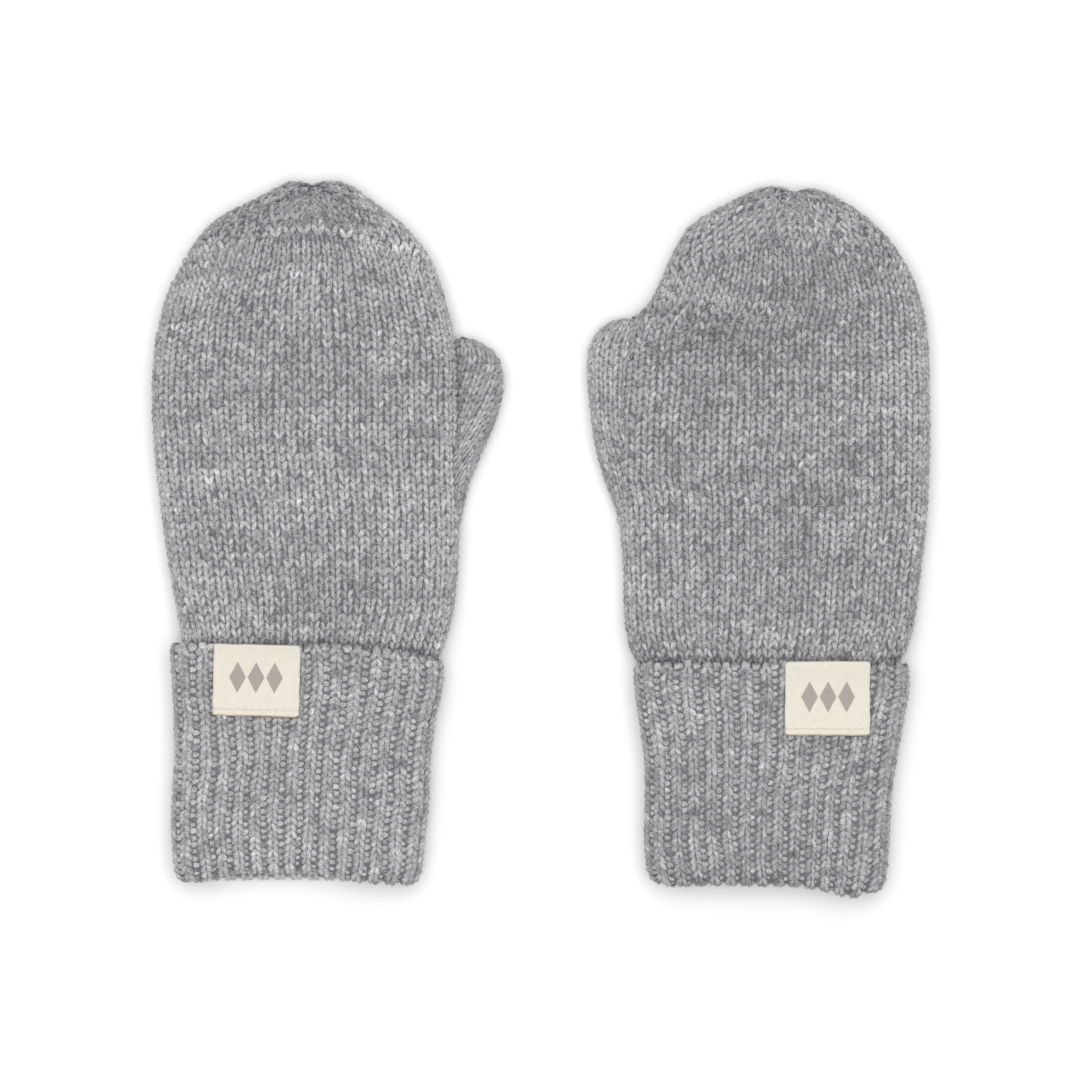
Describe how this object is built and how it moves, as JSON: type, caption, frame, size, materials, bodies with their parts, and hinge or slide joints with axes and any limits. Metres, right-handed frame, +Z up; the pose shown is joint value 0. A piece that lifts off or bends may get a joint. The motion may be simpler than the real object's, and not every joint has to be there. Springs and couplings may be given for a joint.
{
  "type": "pair of mittens",
  "caption": "Pair of knitted wool mittens laid flat, backs up, each with a rounded hand, a side thumb, a turned-up ribbed cuff and a small folded tape label.",
  "frame": {"origin": "on the table, in the middle of the pair's outline", "axes": "+X across the pair, towards the mitten on the picture's right; +Y towards the finger ends; +Z up from the table"},
  "size_m": [0.195, 0.1782, 0.017],
  "materials": {
    "knit": "heathered mid grey wool, stockinette, soft fuzzy nap",
    "rib": "heathered mid grey wool, 1x1 rib, soft fuzzy nap",
    "tape": "cream woven cotton tape, matt"
  },
  "bodies": {
    "root": {"left_hand": "knit", "left_thumb": "knit", "left_cuff": "rib", "left_label": "tape", "right_hand": "knit", "right_thumb": "knit", "right_cuff": "rib", "right_label": "tape"}
  },
  "joints": []
}
